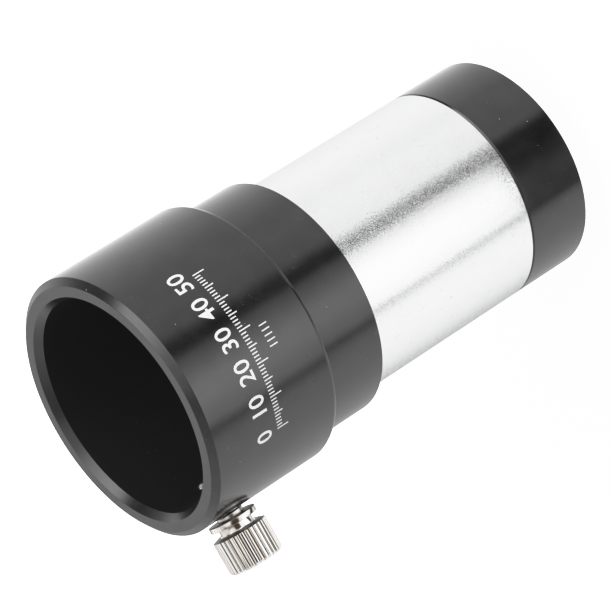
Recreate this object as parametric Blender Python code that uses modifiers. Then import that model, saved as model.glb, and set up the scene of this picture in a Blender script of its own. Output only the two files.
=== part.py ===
"""A 1.25 inch, two times achromatic Barlow lens for telescopes.

The tube stands upright on its nosepiece end: +Z is the optical axis and points to the eyepiece
opening, and the origin is on that axis in the plane of the nosepiece's end rim. The thumbscrew that
clamps the eyepiece lies along +X. Lengths below are in millimetres and are multiplied by MM.
"""

import math

import bmesh
import bpy
from mathutils import Matrix

MM = 0.001
SIDES = 48                      # flats round every turned piece
WELD = 0.00001                  # metres, well under the finest detail
SHARP_ANGLE = math.radians(30)

# Heights along the optical axis
OVERALL = 72.0
HOLDER_REAR = 50.5              # where the wide eyepiece holder ends
ADAPTER_REAR = 40.5             # where the adapter ring ends and the bright barrel begins
BARREL_REAR = 10.4              # where the bright barrel ends and the lens cell begins
BORE_FLOOR = 46.0               # shoulder that stops the eyepiece's own barrel
SEAM = 0.06                     # gap left between faces that butt together

# Radii of the outside
HOLDER_R = 19.25
ADAPTER_R = 17.5
NOSEPIECE_R = 15.85             # fits a 1.25 inch focuser
FACE_OUTER_R = 18.29            # flat front face, between its two bevels
FACE_INNER_R = 16.72
OUTER_BEVEL = 0.78
INNER_BEVEL = 1.05
EDGE = 0.2                      # small bevel that breaks the other corners

# Inside of the tube
EYEPIECE_BORE_R = 15.9
HOLDER_THREAD_R = 17.04
HOLDER_THREAD_TOP = 56.6
ADAPTER_THREAD_R = 15.06
BARREL_SEAT_R = 15.95           # shallow recess in the adapter that the barrel's shoulder enters
BARREL_SEAT_DEPTH = 0.25
BARREL_BORE_R = 13.9
FILTER_THREAD_R = 14.25         # M28.5 x 0.6, the common filter thread
THREAD_PLAY = 0.08              # radial clearance that stands for a thread's own play
CELL_THREAD_LENGTH = 4.5

# Glare stop pressed into the barrel
STOP_TOP = 31.2
STOP_HEIGHT = 2.2
STOP_WEB = 0.6
STOP_WALL = 0.6
STOP_APERTURE_R = 10.5

# Lens cell and the doublet in it
CELL_RECESS = 4.0
RING_THREAD_R = 12.06
RING_SEAT = 6.6
LENS_BORE_R = 11.0
LENS_LEDGE = 12.65
CELL_APERTURE_R = 9.9
CELL_THROAT = 13.5              # height where the flared throat above the lens starts
THROAT_R = 12.6
LENS_R = 10.93
LENS_CLEAR_R = 10.2             # polished part; the rim beyond it is ground flat
LENS_RINGS = 4                  # steps between a lens's centre and its rim
FLINT_RIM = (6.4, 8.2)          # bottom and top of the flat rims
CROWN_RIM = (8.7, 12.6)
FRONT_CURVE = 60.0
INNER_CURVE = 30.0
REAR_CURVE = 70.0
SPACER_BOTTOM = 8.25
SPACER_TOP = 8.65
RING_BOTTOM = 4.5
RING_TOP = 6.35
RING_R = 12.0
SLOT_WIDTH = 1.6
SLOT_DEPTH = 0.8

# Thumbscrew, measured outwards from the optical axis
SCREW_HEIGHT = 65.2
SCREW_SIDES = 24
STUD_TIP = 14.0
STUD_TIP_R = 1.1
STUD_R = 1.96
TAPPED_HOLE_R = 2.04
FLANGE_IN = 19.95
FLANGE_OUT = 20.76
FLANGE_R = 3.45
NECK_R = 2.44
HEAD_IN = 21.75
HEAD_OUT = 26.9
HEAD_R = 3.92
HEAD_BEVEL = 0.36
KNURL_TEETH = 32
KNURL_DEPTH = 0.28
SHANK_R = 1.6
SHANK_END = 25.0
SHANK_PLAY = 0.07


def clear_scene():
    for obj in list(bpy.data.objects):
        bpy.data.objects.remove(obj, do_unlink=True)


def new_collection(name):
    collection = bpy.data.collections.new(name)
    bpy.context.scene.collection.children.link(collection)
    return collection


def principled(name, colour, metallic, roughness, transmission=0.0):
    material = bpy.data.materials.new(name)
    material.use_nodes = True
    shader = material.node_tree.nodes["Principled BSDF"]
    shader.inputs["Base Color"].default_value = (*colour, 1.0)
    shader.inputs["Metallic"].default_value = metallic
    shader.inputs["Roughness"].default_value = roughness
    shader.inputs["Transmission Weight"].default_value = transmission
    return material


def turned(name, profile, material, sides=SIDES):
    """Spin a half profile of (radius, height) points round the local Z axis.

    The profile runs down the outside of the piece. A piece that reaches the axis starts and ends
    there; any other profile is closed into a ring.
    """
    mesh = bpy.data.meshes.new(name)
    count = len(profile)
    edges = [(i, i + 1) for i in range(count - 1)]
    if profile[0][0] > 0.0:
        edges.append((count - 1, 0))
    points = [(radius * MM, 0.0, height * MM) for radius, height in profile]
    mesh.from_pydata(points, edges, [])
    obj = bpy.data.objects.new(name, mesh)
    parts.objects.link(obj)

    screw = obj.modifiers.new("Turn", "SCREW")
    screw.axis = "Z"
    screw.steps = sides
    screw.render_steps = sides
    screw.use_merge_vertices = True
    screw.merge_threshold = WELD
    apply_modifiers(obj)
    obj.data.shade_smooth()
    obj.data.set_sharp_from_angle(angle=SHARP_ANGLE)
    obj.data.materials.append(material)
    return obj


def apply_modifiers(obj):
    rough = obj.data
    evaluated = obj.evaluated_get(bpy.context.evaluated_depsgraph_get())
    obj.data = bpy.data.meshes.new_from_object(evaluated)
    obj.data.name = obj.name
    obj.modifiers.clear()
    bpy.data.meshes.remove(rough)


def add_cutter(name, target, build):
    """Take the shape that build(bm) makes out of the target, with an exact Boolean."""
    mesh = bpy.data.meshes.new(name)
    bm = bmesh.new()
    build(bm)
    bm.to_mesh(mesh)
    bm.free()
    cutter = bpy.data.objects.new(name, mesh)
    cutter.hide_render = True
    cutter.display_type = "WIRE"
    cutters.objects.link(cutter)
    boolean = target.modifiers.new(name, "BOOLEAN")
    boolean.operation = "DIFFERENCE"
    boolean.solver = "EXACT"
    boolean.object = cutter
    return cutter


def curved_face(curve, centre_height, bulge):
    """Points of a lens face from its centre to the edge of the polished part.

    bulge is +1 where the face falls away from its centre towards -Z, and -1 where it rises.
    """
    points = []
    for i in range(LENS_RINGS + 1):
        radius = LENS_CLEAR_R * i / LENS_RINGS
        sag = curve - math.sqrt(curve ** 2 - radius ** 2)
        points.append((radius, centre_height - bulge * sag))
    return points


def sag_at_edge(curve):
    return curve - math.sqrt(curve ** 2 - LENS_CLEAR_R ** 2)


def lens_element(name, top_face, bottom_face, rim, material):
    bottom, top = rim
    profile = top_face + [(LENS_R, top), (LENS_R, bottom)] + bottom_face[::-1]
    return turned(name, profile, material)


def make_eyepiece_holder(material):
    """Wide sleeve that takes a 1.25 inch eyepiece, with a tapped hole for the thumbscrew."""
    profile = [
        (FACE_OUTER_R, OVERALL),
        (HOLDER_R, OVERALL - OUTER_BEVEL),
        (HOLDER_R, HOLDER_REAR + EDGE),
        (HOLDER_R - EDGE, HOLDER_REAR),
        (HOLDER_THREAD_R, HOLDER_REAR),
        (HOLDER_THREAD_R, HOLDER_THREAD_TOP),
        (EYEPIECE_BORE_R, HOLDER_THREAD_TOP),
        (EYEPIECE_BORE_R, OVERALL - INNER_BEVEL),
        (FACE_INNER_R, OVERALL),
    ]
    holder = turned("eyepiece_holder", profile, material)
    hole_middle = (EYEPIECE_BORE_R + HOLDER_R) / 2
    hole_length = 2 * (HOLDER_R - EYEPIECE_BORE_R)

    def tapped_hole(bm):
        along_x = Matrix.Rotation(math.radians(90), 4, "Y")
        place = Matrix.Translation((hole_middle * MM, 0.0, SCREW_HEIGHT * MM))
        bmesh.ops.create_cone(bm, cap_ends=True, segments=SCREW_SIDES, radius1=TAPPED_HOLE_R * MM,
                              radius2=TAPPED_HOLE_R * MM, depth=hole_length * MM,
                              matrix=place @ along_x)

    add_cutter("thumbscrew_hole", holder, tapped_hole)
    return holder


def make_adapter_ring(material):
    """Stepped ring that joins the holder to the barrel and ends the eyepiece's bore."""
    shoulder = HOLDER_REAR - SEAM
    barrel_seat = ADAPTER_REAR + BARREL_SEAT_DEPTH
    profile = [
        (HOLDER_THREAD_R - THREAD_PLAY, HOLDER_THREAD_TOP - EDGE),
        (HOLDER_THREAD_R - THREAD_PLAY, shoulder),
        (ADAPTER_R, shoulder),
        (ADAPTER_R, ADAPTER_REAR + EDGE),
        (ADAPTER_R - EDGE, ADAPTER_REAR),
        (BARREL_SEAT_R, ADAPTER_REAR),
        (BARREL_SEAT_R, barrel_seat),
        (ADAPTER_THREAD_R, barrel_seat),
        (ADAPTER_THREAD_R, BORE_FLOOR),
        (EYEPIECE_BORE_R, BORE_FLOOR),
        (EYEPIECE_BORE_R, HOLDER_THREAD_TOP - EDGE),
    ]
    return turned("adapter_ring", profile, material)


def make_barrel_tube(material):
    """Bright nosepiece tube, threaded outside at its top and inside at its foot."""
    spigot = ADAPTER_THREAD_R - THREAD_PLAY
    shoulder = ADAPTER_REAR + BARREL_SEAT_DEPTH - SEAM
    thread_end = BARREL_REAR + CELL_THREAD_LENGTH + EDGE
    profile = [
        (spigot, BORE_FLOOR - EDGE),
        (spigot, shoulder),
        (NOSEPIECE_R, shoulder),
        (NOSEPIECE_R, BARREL_REAR + EDGE),
        (NOSEPIECE_R - EDGE, BARREL_REAR),
        (FILTER_THREAD_R + THREAD_PLAY, BARREL_REAR),
        (FILTER_THREAD_R + THREAD_PLAY, thread_end),
        (BARREL_BORE_R, thread_end),
        (BARREL_BORE_R, BORE_FLOOR - EDGE),
    ]
    return turned("barrel_tube", profile, material)


def make_glare_stop(material):
    """Blackened ring with a knife edge that keeps stray light off the eyepiece."""
    outer = BARREL_BORE_R - SEAM
    web_bottom = STOP_TOP - STOP_WEB
    half_web = STOP_WEB / 2
    profile = [
        (STOP_APERTURE_R + half_web, STOP_TOP),
        (outer, STOP_TOP),
        (outer, STOP_TOP - STOP_HEIGHT),
        (outer - STOP_WALL, STOP_TOP - STOP_HEIGHT),
        (outer - STOP_WALL, web_bottom),
        (STOP_APERTURE_R + half_web, web_bottom),
        (STOP_APERTURE_R, web_bottom + half_web),
    ]
    return turned("glare_stop", profile, material)


def make_lens_cell(material):
    """Screw-in cell: seat for the doublet above, standard filter thread in its foot."""
    thread_top = BARREL_REAR + CELL_THREAD_LENGTH - SEAM
    shoulder = BARREL_REAR - SEAM
    profile = [
        (THROAT_R, thread_top),
        (FILTER_THREAD_R, thread_top),
        (FILTER_THREAD_R, shoulder),
        (NOSEPIECE_R - EDGE, shoulder),
        (NOSEPIECE_R, shoulder - EDGE),
        (NOSEPIECE_R, EDGE),
        (NOSEPIECE_R - EDGE, 0.0),
        (FILTER_THREAD_R + EDGE, 0.0),
        (FILTER_THREAD_R, EDGE),
        (FILTER_THREAD_R, CELL_RECESS),
        (RING_THREAD_R, CELL_RECESS),
        (RING_THREAD_R, RING_SEAT),
        (LENS_BORE_R, RING_SEAT),
        (LENS_BORE_R, LENS_LEDGE),
        (CELL_APERTURE_R, LENS_LEDGE),
        (CELL_APERTURE_R, CELL_THROAT),
    ]
    return turned("lens_cell", profile, material)


def make_flint_element(material):
    """Lower lens, a meniscus: hollow towards the telescope, bulging into the crown above it."""
    bottom, top = FLINT_RIM
    upper = curved_face(INNER_CURVE, top + sag_at_edge(INNER_CURVE), 1)
    lower = curved_face(FRONT_CURVE, bottom + sag_at_edge(FRONT_CURVE), 1)
    return lens_element("flint_element", upper, lower, FLINT_RIM, material)


def make_crown_element(material):
    """Upper lens, hollow on both sides, which makes the pair diverging."""
    bottom, top = CROWN_RIM
    upper = curved_face(REAR_CURVE, top - sag_at_edge(REAR_CURVE), -1)
    lower = curved_face(INNER_CURVE, bottom + sag_at_edge(INNER_CURVE), 1)
    return lens_element("crown_element", upper, lower, CROWN_RIM, material)


def make_element_spacer(material):
    """Thin ring between the two lenses' ground rims."""
    inner = (LENS_CLEAR_R + LENS_R) / 2 - 0.3
    profile = [
        (LENS_R, SPACER_TOP),
        (LENS_R, SPACER_BOTTOM),
        (inner, SPACER_BOTTOM),
        (inner, SPACER_TOP),
    ]
    return turned("element_spacer", profile, material)


def make_retaining_ring(material):
    """Threaded ring that holds the lenses, with two slots for a spanner."""
    profile = [
        (RING_R, RING_TOP),
        (RING_R, RING_BOTTOM),
        (CELL_APERTURE_R + EDGE, RING_BOTTOM),
        (CELL_APERTURE_R, RING_BOTTOM + EDGE),
        (CELL_APERTURE_R, RING_TOP),
    ]
    ring = turned("retaining_ring", profile, material)

    def slots(bm):
        size = Matrix.Diagonal((2.2 * RING_R * MM, SLOT_WIDTH * MM, 2 * SLOT_DEPTH * MM, 1.0))
        place = Matrix.Translation((0.0, 0.0, RING_BOTTOM * MM))
        bmesh.ops.create_cube(bm, size=1.0, matrix=place @ size)

    add_cutter("spanner_slots", ring, slots)
    return ring


def make_thumbscrew_stud(material):
    """M4 stud: its tip presses on the eyepiece, its plain end carries the knurled head."""
    tip_bevel = STUD_R - STUD_TIP_R
    shoulder = FLANGE_IN - SEAM
    profile = [
        (0.0, SHANK_END),
        (SHANK_R, SHANK_END),
        (SHANK_R, shoulder),
        (STUD_R, shoulder),
        (STUD_R, STUD_TIP + tip_bevel),
        (STUD_TIP_R, STUD_TIP),
        (0.0, STUD_TIP),
    ]
    return turned("thumbscrew_stud", profile, material, sides=SCREW_SIDES)


def make_thumbscrew_head(material):
    """Knurled grip, neck and flange turned from one bar, bored to fit on the stud."""
    bore_end = SHANK_END + SEAM
    profile = [
        (0.0, HEAD_OUT),
        (HEAD_R - HEAD_BEVEL, HEAD_OUT),
        (HEAD_R, HEAD_OUT - HEAD_BEVEL),
        (HEAD_R, HEAD_IN + HEAD_BEVEL),
        (HEAD_R - HEAD_BEVEL, HEAD_IN),
        (NECK_R, HEAD_IN),
        (NECK_R, FLANGE_OUT),
        (FLANGE_R, FLANGE_OUT),
        (FLANGE_R, FLANGE_IN),
        (SHANK_R + SHANK_PLAY, FLANGE_IN),
        (SHANK_R + SHANK_PLAY, bore_end),
        (0.0, bore_end),
    ]
    head = turned("thumbscrew_head", profile, material, sides=2 * KNURL_TEETH)
    valley = (HEAD_R - KNURL_DEPTH) / HEAD_R
    step = math.pi / KNURL_TEETH
    for vertex in head.data.vertices:
        x, y, _ = vertex.co
        on_grip = math.hypot(x, y) > (HEAD_R - HEAD_BEVEL / 2) * MM
        if on_grip and round(math.atan2(y, x) / step) % 2:
            vertex.co.x = x * valley
            vertex.co.y = y * valley
    return head


def hang_on_thumbscrew_axis(pieces):
    """Stand the thumbscrew's pieces on an axis that leaves the tube along +X."""
    axis = bpy.data.objects.new("thumbscrew_axis", None)
    axis.location = (0.0, 0.0, SCREW_HEIGHT * MM)
    axis.rotation_euler = (0.0, math.radians(90), 0.0)
    axis.empty_display_size = 5 * MM
    parts.objects.link(axis)
    for piece in pieces:
        piece.parent = axis


def build():
    black = principled("black_anodised", (0.025, 0.025, 0.027), 0.6, 0.32)
    matt_black = principled("matt_black", (0.012, 0.012, 0.012), 0.0, 0.75)
    bright = principled("satin_aluminium", (0.82, 0.82, 0.81), 1.0, 0.28)
    nickel = principled("nickel_plate", (0.78, 0.74, 0.69), 1.0, 0.16)
    steel = principled("screw_steel", (0.62, 0.61, 0.59), 1.0, 0.25)
    glass = principled("coated_glass", (0.86, 0.94, 0.90), 0.0, 0.02, transmission=1.0)

    make_eyepiece_holder(black)
    make_adapter_ring(black)
    make_barrel_tube(bright)
    make_glare_stop(matt_black)
    make_lens_cell(black)
    make_flint_element(glass)
    make_crown_element(glass)
    make_element_spacer(matt_black)
    make_retaining_ring(matt_black)
    hang_on_thumbscrew_axis([make_thumbscrew_stud(steel), make_thumbscrew_head(nickel)])


clear_scene()
parts = new_collection("barlow_lens")
cutters = new_collection("cutters")
build()
bpy.context.view_layer.update()
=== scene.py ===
"""Looks of a 1.25 inch Barlow lens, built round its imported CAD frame.

Every CAD node is replaced by a finer turned piece in the same place, on the same body. +Z is the
optical axis and points to the eyepiece opening; the thumbscrew leaves the tube along +X. Lengths are
in millimetres and are multiplied by MM.
"""

import math

import bmesh
import bpy
from mathutils import Matrix, Quaternion, Vector


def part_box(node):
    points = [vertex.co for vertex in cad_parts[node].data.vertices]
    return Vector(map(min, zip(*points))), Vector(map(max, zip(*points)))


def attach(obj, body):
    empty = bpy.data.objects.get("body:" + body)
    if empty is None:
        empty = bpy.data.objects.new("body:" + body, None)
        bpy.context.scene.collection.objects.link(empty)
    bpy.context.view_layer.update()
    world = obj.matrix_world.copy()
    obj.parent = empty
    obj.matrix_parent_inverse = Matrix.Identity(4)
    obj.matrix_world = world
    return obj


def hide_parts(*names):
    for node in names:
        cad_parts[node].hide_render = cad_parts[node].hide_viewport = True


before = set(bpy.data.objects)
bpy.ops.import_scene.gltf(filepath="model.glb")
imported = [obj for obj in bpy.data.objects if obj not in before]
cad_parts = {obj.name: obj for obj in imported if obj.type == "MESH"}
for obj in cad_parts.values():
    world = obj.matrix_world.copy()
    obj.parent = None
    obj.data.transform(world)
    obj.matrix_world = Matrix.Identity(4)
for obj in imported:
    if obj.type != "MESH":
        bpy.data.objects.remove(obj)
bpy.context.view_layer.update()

MM = 0.001
SEGMENTS = 256                  # flats round the tube's pieces
SCREW_SEGMENTS = 96             # flats round the stud
LENS_SEGMENTS = 128
HOLE_SEGMENTS = 64
CORNER = 0.06                   # rounding of a corner that states none
CORNER_STEPS = 3
SHARP_ANGLE = math.radians(28)


def extent(node, axis):
    """Lowest and highest coordinate of a CAD node along one axis, in millimetres."""
    low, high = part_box(node)
    return low[axis] / MM, high[axis] / MM


X, Y, Z = 0, 1, 2

# Outside of the tube, from the frame
HOLDER_BOTTOM, HOLDER_TOP = extent("eyepiece_holder", Z)
HOLDER_R = extent("eyepiece_holder", Y)[1]
ADAPTER_BOTTOM = extent("adapter_ring", Z)[0]
ADAPTER_R = extent("adapter_ring", Y)[1]
BARREL_BOTTOM, BARREL_TOP = extent("barrel_tube", Z)
BARREL_R = extent("barrel_tube", Y)[1]
CELL_BOTTOM, CELL_TOP = extent("lens_cell", Z)
CELL_R = extent("lens_cell", Y)[1]
SEAM = 0.06                     # gap between faces that butt together
HAIRLINE = 0.01                 # the same where two bores run on as one

# Mouth and bores of the tube
FACE_OUTER_R = 18.29
FACE_INNER_R = 16.72
OUTER_BEVEL = 0.78
INNER_BEVEL = 1.05
REAR_TAPER = 0.54               # length of the slight taper at the holder's rear edge
REAR_FALL = 0.26                # how much narrower it gets
BORE_R = 15.9
BORE_FLOOR = 46.0
HOLDER_THREAD_R = 17.04
HOLDER_THREAD_TOP = 56.6
ADAPTER_THREAD_R = 15.06
BARREL_SEAT_R = 15.95
BARREL_SEAT_DEPTH = 0.25
BARREL_BORE_R = 13.9
THREAD_PLAY = 0.08
THREAD_RUNOUT = 0.1             # plain wall left at the ends of a thread
ROWS_PER_TURN = 8               # rows of points for each turn of a thread in the tube

# Glare stop
STOP_BOTTOM, STOP_TOP = extent("glare_stop", Z)
STOP_R = extent("glare_stop", Y)[1]
STOP_APERTURE_R = 10.5
STOP_WEB = 0.6
STOP_WALL = 0.6

# Lens cell and what it holds
FILTER_THREAD_R = 14.25
FILTER_PITCH = 0.6
FILTER_THREAD_DEPTH = 0.3
CELL_SHOULDER = BARREL_BOTTOM - SEAM
CELL_RECESS = 4.0
CELL_CHAMFER = 0.28
RING_THREAD_R = 12.06
RING_SEAT = 6.6
LENS_BORE_R = 11.0
LENS_LEDGE = 12.65
CELL_APERTURE_R = 9.9
CELL_THROAT = 13.5
THROAT_R = 12.6
RING_BOTTOM, RING_TOP = extent("retaining_ring", Z)
RING_R = extent("retaining_ring", Y)[1]
RING_PITCH = 0.5
RING_THREAD_DEPTH = 0.22
SLOT_WIDTH = 1.6
SLOT_DEPTH = 0.8
LENS_R = extent("crown_element", Y)[1]
LENS_CLEAR_R = 10.2
LENS_RINGS = 20
LENS_BEVEL = 0.12
FLINT_RIM = (6.4, 8.2)
CROWN_RIM = (8.7, 12.6)
FRONT_CURVE = 60.0
INNER_CURVE = 30.0
REAR_CURVE = 70.0
SPACER_BOTTOM, SPACER_TOP = extent("element_spacer", Z)
SPACER_OVERHANG = 0.3           # how far the spacer reaches in past the middle of the lens's rim

# Thumbscrew, measured outwards from the optical axis
SCREW_HEIGHT = sum(extent("thumbscrew_stud", Z)) / 2
STUD_TIP, SHANK_END = extent("thumbscrew_stud", X)
STUD_R = extent("thumbscrew_stud", Y)[1]
STUD_TIP_R = 1.62
STUD_TIP_BEVEL = 0.55           # length of the bevel at its tip
STUD_PITCH = 0.7
STUD_THREAD_DEPTH = 0.32
TAPPED_HOLE_R = 2.04
TAPPED_BAND = 3.2               # half the height of the band of the holder that the hole is cut in
DRILL_EXCESS = 1.0              # how far the drill stands out of both sides of the wall
FLANGE_IN, HEAD_OUT = extent("thumbscrew_head", X)
FLANGE_OUT = 20.76
FLANGE_R = 3.45
NECK_R = 2.44
HEAD_IN = 21.75
HEAD_R = extent("thumbscrew_head", Y)[1]
HEAD_BEVEL = 0.36
HEAD_DOME = 0.55                # width of the bevel at the head's inner end
KNURL_TEETH = 32
KNURL_DEPTH = 0.28
KNURL_LAND = 2.0                # the higher, the wider the lands between the flutes
KNURL_FLOOR = HEAD_R - KNURL_DEPTH - 0.01
KNURL_FLANK = HEAD_R - 0.5 * KNURL_DEPTH
SHANK_R = 1.6
SHANK_PLAY = 0.07

# Camera, at the photograph's viewing angle
VIEW_AZIMUTH = 95.22
VIEW_ELEVATION = 30.45
VIEW_ROLL = -122.51
VIEW_DISTANCE = 556.9
VIEW_TARGET = (1.88, -1.27, 38.44)
VIEW_LENS = 242.36
SENSOR_WIDTH = 36.0
CLIP_RANGE = (0.01, 50.0)       # in metres

FLOOR_DROP = 4.0                # leaves room for the lens cell when it is screwed out
FLOOR_R = 12.0                  # in metres
FLOOR_SEGMENTS = 96

# Light tent: brightness by direction round the object, in degrees from the camera's own direction.
# TENT_SIDES and TENT_ROOF started from computed estimates of the light that the tube and the bevels
# of its mouth reflect, and were rounded and then adjusted.
TENT_SIDES = [
    (-168, 0.66), (-150, 0.76), (-120, 1.04), (-90, 1.16), (-78, 1.20), (-66, 1.12), (-60, 0.80),
    (-56, 0.34), (-53, 0.62), (-48, 1.50), (-42, 1.60), (-30, 2.05), (-18, 2.10), (-12, 1.75),
    (0, 1.00), (6, 0.72), (8.5, 0.45), (11, 0.02), (19, 0.02), (23, 0.30), (29, 0.84), (60, 0.94),
    (78, 0.88), (90, 0.98), (108, 1.11), (138, 1.32), (160, 1.45), (180, 1.25),
]
TENT_ROOF = [
    (-200, 0.70), (-190, 0.74), (-184, 1.00), (-180, 1.05), (-152, 0.92), (-125, 0.80), (-92, 0.80),
    (-59, 0.50), (-40, 0.38), (-22, 0.22), (-10, 0.42), (0, 1.00), (10, 1.70), (22, 2.30), (40, 2.90),
    (58, 3.45), (73, 3.40), (79, 1.40), (86, 0.08), (105, 0.10), (122, 0.24), (138, 0.52), (152, 0.96),
    (165, 1.15), (180, 1.25), (184, 1.00), (190, 0.74), (200, 0.70),
]
TENT_HORIZON = [
    (-180, 0.15), (-170, 0.20), (-163, 0.65), (-150, 0.85), (-60, 1.00), (0, 1.20), (120, 1.20),
    (155, 1.20), (162, 1.00), (168, 0.55), (173, 0.20), (180, 0.15),
]
TENT_ZENITH = 0.8
TENT_UNDERSIDE = [(-180, 0.6), (-115, 0.8), (-72, 0.8), (-58, 0.25), (-45, 0.04), (0, 0.06), (14, 0.5),
                  (60, 0.6), (180, 0.6)]
# Heights on the unit sphere between which one part of the tent turns into the next
UNDERSIDE_TO_SIDES = (-0.74, -0.64)
SIDES_TO_HORIZON = (-0.36, -0.26)
HORIZON_TO_ROOF = (0.00, 0.12)
ROOF_TO_ZENITH = (0.960, 0.995)
# The roof's panels lean: they are turned further from the camera the higher they are, by so many
# degrees for one unit of height on the sphere, and not at all at the height given
ROOF_LEAN = 72.0
ROOF_LEAN_FROM = 0.53
# Dark warm spot beside the camera: where it is, how wide, and its level and tint
SPOT_AZIMUTH = -14.0
SPOT_ELEVATION = 25.0
SPOT_EDGE = (math.cos(math.radians(26)), math.cos(math.radians(10)))
SPOT_LEVEL = 0.05
SPOT_TINT = (1.0, 0.72, 0.52, 1.0)

# The table close in front of the object, which lies in its own shade. Distances are measured from
# the line that the tube's reflections spread from.
TABLE_PIVOT = 8.7
TABLE_REACH = FLOOR_DROP / math.tan(math.radians(VIEW_ELEVATION))  # added by the table's depth
TABLE_ANGLES = (-57.0, 20.0)
TABLE_FADES = ((-57.0, -53.0), (12.0, 20.0))
TABLE_RADII = (6.0, 135.0)
TABLE_STEPS = 32
TABLE_SHADE = [(-57, 0.20), (-48, 0.30), (-30, 0.34), (-20, 0.26), (-10, 0.11), (0, 0.03), (18, 0.0)]
TABLE_SHADE_END = (22.5, 24.5)
TABLE_FALL = [(0, 0.6), (32, 0.78), (52, 0.86), (69, 0.88), (98, 0.90), (125, 1.0), (135, 1.0)]

# Response of the camera: a faint veil over the blacks, and a soft shoulder under white
RESPONSE_WHITE = 2.4
RESPONSE = [(0.0, 0.006), (0.36, 0.366), (0.60, 0.61), (0.85, 0.83), (1.15, 0.94), (1.70, 0.985),
            (2.40, 1.0)]


# ---------------------------------------------------------------- node trees

def node(tree, kind, inputs=None, **settings):
    """Add a shader node. inputs maps socket names or numbers to values or to other sockets."""
    made = tree.nodes.new(kind)
    for key, value in settings.items():
        setattr(made, key, value)
    for key, value in (inputs or {}).items():
        socket = made.inputs[key]
        if isinstance(value, bpy.types.NodeSocket):
            tree.links.new(value, socket)
        else:
            socket.default_value = value
    return made


def maths(tree, operation, *values):
    inputs = dict(enumerate(values))
    return node(tree, "ShaderNodeMath", inputs, operation=operation).outputs[0]


def remap(tree, value, from_range, to_range, smooth=False):
    kind = "SMOOTHSTEP" if smooth else "LINEAR"
    inputs = {"Value": value, "From Min": from_range[0], "From Max": from_range[1],
              "To Min": to_range[0], "To Max": to_range[1]}
    return node(tree, "ShaderNodeMapRange", inputs, interpolation_type=kind).outputs["Result"]


def noise(tree, vector, scale, detail=3.0, roughness=0.5):
    inputs = {"Vector": vector, "Scale": scale, "Detail": detail, "Roughness": roughness}
    return node(tree, "ShaderNodeTexNoise", inputs).outputs[0]


def ramp(tree, value, stops):
    """Level of a value between the first and the last of (value, level) stops, as a number."""
    low, high = stops[0][0], stops[-1][0]
    peak = max(level for _, level in stops)
    made = node(tree, "ShaderNodeValToRGB", {"Fac": remap(tree, value, (low, high), (0.0, 1.0))})
    elements = made.color_ramp.elements
    while len(elements) < len(stops):
        elements.new(0.5)
    for element, (position, level) in zip(elements, stops):
        element.position = (position - low) / (high - low)
        element.color = grey(level / peak)
    return maths(tree, "MULTIPLY", made.outputs["Color"], peak)


def blend(tree, factor, a, b):
    return node(tree, "ShaderNodeMix", {0: factor, 2: a, 3: b}, data_type="FLOAT").outputs[0]


def step_between(tree, value, low_high):
    """0 below a range, 1 above it, and smooth in between."""
    return remap(tree, value, low_high, (0.0, 1.0), smooth=True)


def mix_colour(tree, factor, a, b):
    made = node(tree, "ShaderNodeMix", {"Factor": factor}, data_type="RGBA")
    colours = [socket for socket in made.inputs if socket.type == "RGBA"]
    for socket, value in zip(colours, (a, b)):
        if isinstance(value, bpy.types.NodeSocket):
            tree.links.new(value, socket)
        else:
            socket.default_value = value
    return [socket for socket in made.outputs if socket.type == "RGBA"][0]


def grey(level):
    return (level, level, level, 1.0)


def bump(tree, height, distance_mm, strength=1.0, normal=None):
    inputs = {"Height": height, "Distance": distance_mm * MM, "Strength": strength}
    if normal is not None:
        inputs["Normal"] = normal
    return node(tree, "ShaderNodeBump", inputs).outputs["Normal"]


def facets(tree, vector, per_mm, tilt):
    """Surface normal of small flats that each lean their own way."""
    lean_of_flat = node(tree, "ShaderNodeTexVoronoi", {"Vector": vector, "Scale": per_mm}).outputs["Color"]
    offset = node(tree, "ShaderNodeVectorMath", {0: lean_of_flat, 1: (0.5, 0.5, 0.5)},
                  operation="SUBTRACT").outputs[0]
    offset = node(tree, "ShaderNodeVectorMath", {0: offset, "Scale": tilt}, operation="SCALE").outputs[0]
    facing = node(tree, "ShaderNodeNewGeometry").outputs["Normal"]
    sum_of_both = node(tree, "ShaderNodeVectorMath", {0: facing, 1: offset}, operation="ADD").outputs[0]
    return node(tree, "ShaderNodeVectorMath", {0: sum_of_both}, operation="NORMALIZE").outputs[0]


def new_material(name):
    """A material with only a Principled shader. Returns the material, its tree and the shader."""
    material = bpy.data.materials.new(name)
    material.use_nodes = True
    tree = material.node_tree
    return material, tree, tree.nodes["Principled BSDF"]


def place(tree):
    """Position on the piece, in millimetres. Every piece's object sits at the frame's origin."""
    coordinate = node(tree, "ShaderNodeTexCoord").outputs["Object"]
    return node(tree, "ShaderNodeVectorMath", {0: coordinate, 1: (1 / MM, 1 / MM, 1 / MM)},
                operation="MULTIPLY").outputs[0]


def connect(tree, shader, **sockets):
    for name, value in sockets.items():
        tree.links.new(value, shader.inputs[name.replace("_", " ")])


def specks(tree, vector, scale, size):
    """1 in a few small spots scattered over the surface, and 0 elsewhere."""
    spots = node(tree, "ShaderNodeTexVoronoi", {"Vector": vector, "Scale": scale})
    near = maths(tree, "LESS_THAN", spots.outputs["Distance"], size)
    chosen = node(tree, "ShaderNodeSeparateColor", {"Color": spots.outputs["Color"]}).outputs[0]
    return maths(tree, "MULTIPLY", near, maths(tree, "GREATER_THAN", chosen, 0.75))


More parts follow.
